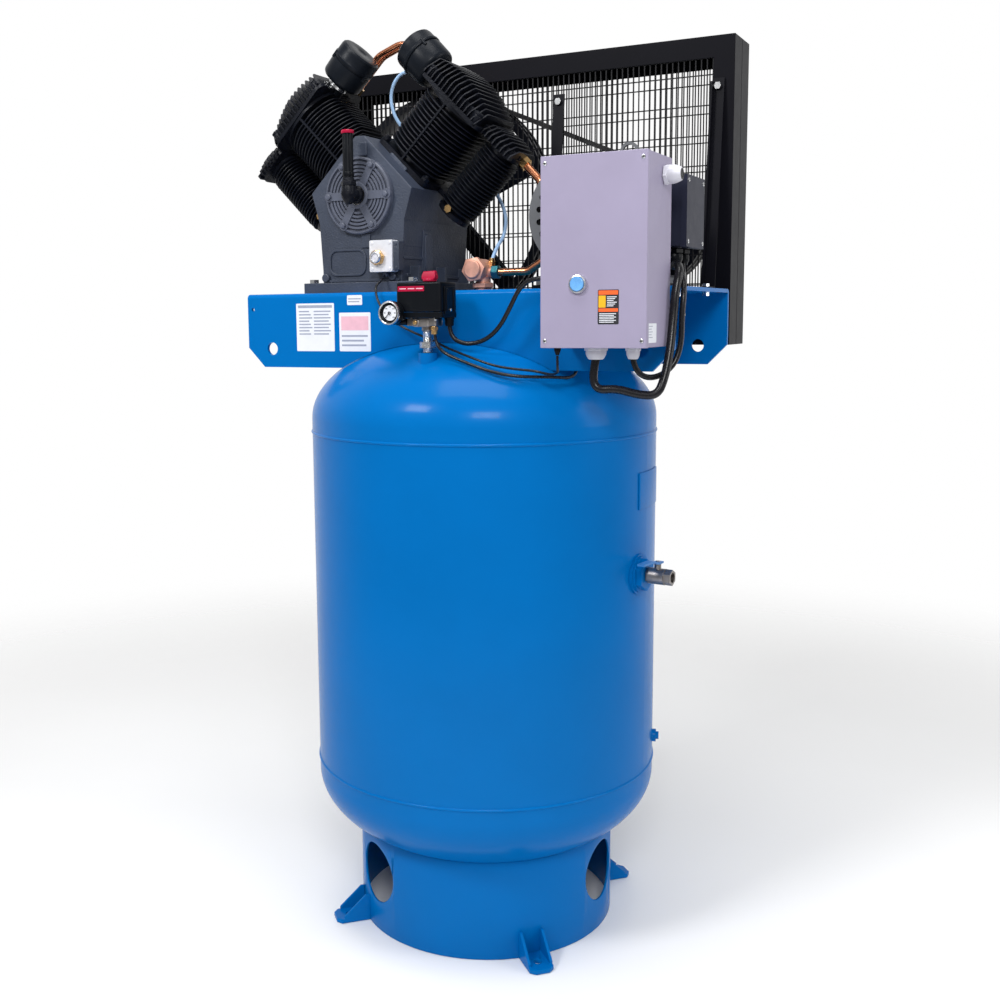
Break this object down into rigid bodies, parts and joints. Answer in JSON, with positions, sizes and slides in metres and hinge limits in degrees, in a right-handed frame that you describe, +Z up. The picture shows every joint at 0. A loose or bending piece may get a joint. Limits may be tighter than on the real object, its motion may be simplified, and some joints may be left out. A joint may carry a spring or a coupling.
{
  "type": "vertical tank compressor",
  "caption": "Two-stage belt-driven piston compressor on a deck over a vertical air receiver, with motor, wire belt guard, starter box and outlet valve.",
  "frame": {"origin": "centre of the skirt's foot ring on the floor, on the tank axis", "axes": "+Z up the tank axis, +X along the deck towards the motor, -Y is the front with the starter box"},
  "size_m": [1.0898, 0.767, 1.9813],
  "materials": {
    "blue_paint": "gloss enamel",
    "black_casting": "satin black paint on cast iron",
    "dark_crankcase": "dark grey paint on cast iron",
    "guard_black": "satin powder coat",
    "guard_wire": "satin powder coat",
    "box_grey": "fine textured powder coat",
    "motor_grey": "satin enamel",
    "steel": "machined steel",
    "zinc": "bright zinc plate",
    "copper": "drawn copper tube",
    "brass": "machined brass",
    "rubber": "matt rubber",
    "black_plastic": "moulded",
    "grey_plastic": "moulded nylon",
    "red_plastic": "moulded",
    "blue_plastic": "moulded",
    "cable_jacket": "smooth jacket",
    "pale_tube": "translucent nylon tube",
    "aluminium": "cast and machined"
  },
  "bodies": {
    "machine": {"tank_shell": "blue_paint", "tank_top_head": "blue_paint", "tank_bottom_head": "blue_paint", "skirt": "blue_paint", "anchor_feet": "blue_paint", "tank_bungs": "blue_paint", "data_plate": "blue_paint", "deck_platform": "blue_paint", "ball_valve_body": "steel", "crankcase": "dark_crankcase", "front_cover": "dark_crankcase", "rear_bearing_housing": "dark_crankcase", "cylinder_left": "black_casting", "cylinder_right": "black_casting", "barrel_left": "black_casting", "barrel_right": "black_casting", "head_left": "black_casting", "head_right": "black_casting", "intake_filters": "black_plastic", "pistons": "aluminium", "pump_fittings": "brass", "breather": "dark_crankcase", "oil_level_switch": "aluminium", "motor_frame": "motor_grey", "motor_fan_cowl": "motor_grey", "conduit_box": "motor_grey", "motor_slide_base": "steel", "drive_belts": "rubber", "guard_front_frame": "guard_black", "guard_rear_frame": "guard_black", "guard_front_mesh": "guard_wire", "guard_rear_mesh": "guard_wire", "guard_braces": "guard_black", "control_box": "box_grey", "control_box_lid": "box_grey", "cable_glands": "grey_plastic", "pressure_switch": "black_plastic", "switch_manifold": "zinc", "pressure_gauge": "steel", "safety_valve": "brass", "check_valve": "brass", "copper_tubes": "copper", "motor_cable": "cable_jacket", "control_cable": "cable_jacket", "switch_cable": "cable_jacket", "unloader_tube": "cable_jacket", "oil_switch_wire": "cable_jacket", "pilot_tube": "pale_tube", "hex_bolts": "zinc", "cover_screws": "zinc"},
    "crank": {"crankshaft": "steel", "flywheel": "black_casting"},
    "rotor": {"motor_rotor": "steel", "motor_sheave": "black_casting"},
    "outlet_handle": {"valve_ball": "steel", "valve_lever": "blue_plastic"},
    "reset_push": {"reset_button": "blue_plastic"},
    "selector": {"switch_knob": "red_plastic"},
    "pointer": {"gauge_needle": "black_plastic"},
    "relief_pull": {"safety_valve_ring": "steel"}
  },
  "joints": [
    {"name": "crank_spin", "type": "hinge", "parent": "machine", "child": "crank", "pos_m": [-0.229, 0.2, 1.615], "axis": [0, 1, 0], "continuous": true},
    {"name": "rotor_spin", "type": "hinge", "parent": "machine", "child": "rotor", "pos_m": [0.299, 0, 1.549], "axis": [0, 1, 0], "continuous": true},
    {"name": "valve_turn", "type": "hinge", "parent": "machine", "child": "outlet_handle", "pos_m": [0.42168, -0.04432, 0.815], "axis": [0, 0, 1], "range_deg": [0, 90]},
    {"name": "reset_travel", "type": "slide", "parent": "machine", "child": "reset_push", "axis": [0, 1, 0], "range_m": [0, 0.004], "stiffness_N_per_m": 600, "springref_m": -0.003},
    {"name": "selector_turn", "type": "hinge", "parent": "machine", "child": "selector", "pos_m": [0.014, -0.27, 1.43], "axis": [0, 0, 1], "range_deg": [0, 90]},
    {"name": "pointer_swing", "type": "hinge", "parent": "machine", "child": "pointer", "pos_m": [-0.046, -0.329, 1.361], "axis": [0, 1, 0], "range_deg": [0, 270], "stiffness_Nm_per_rad": 0.002},
    {"name": "relief_travel", "type": "slide", "parent": "machine", "child": "relief_pull", "axis": [0, 1, 0], "range_m": [0, 0.004], "stiffness_N_per_m": 1500, "springref_m": -0.003}
  ],
  "couplings": [
    {"joint": "rotor_spin", "follows": "crank_spin", "ratio": 2.1231}
  ]
}
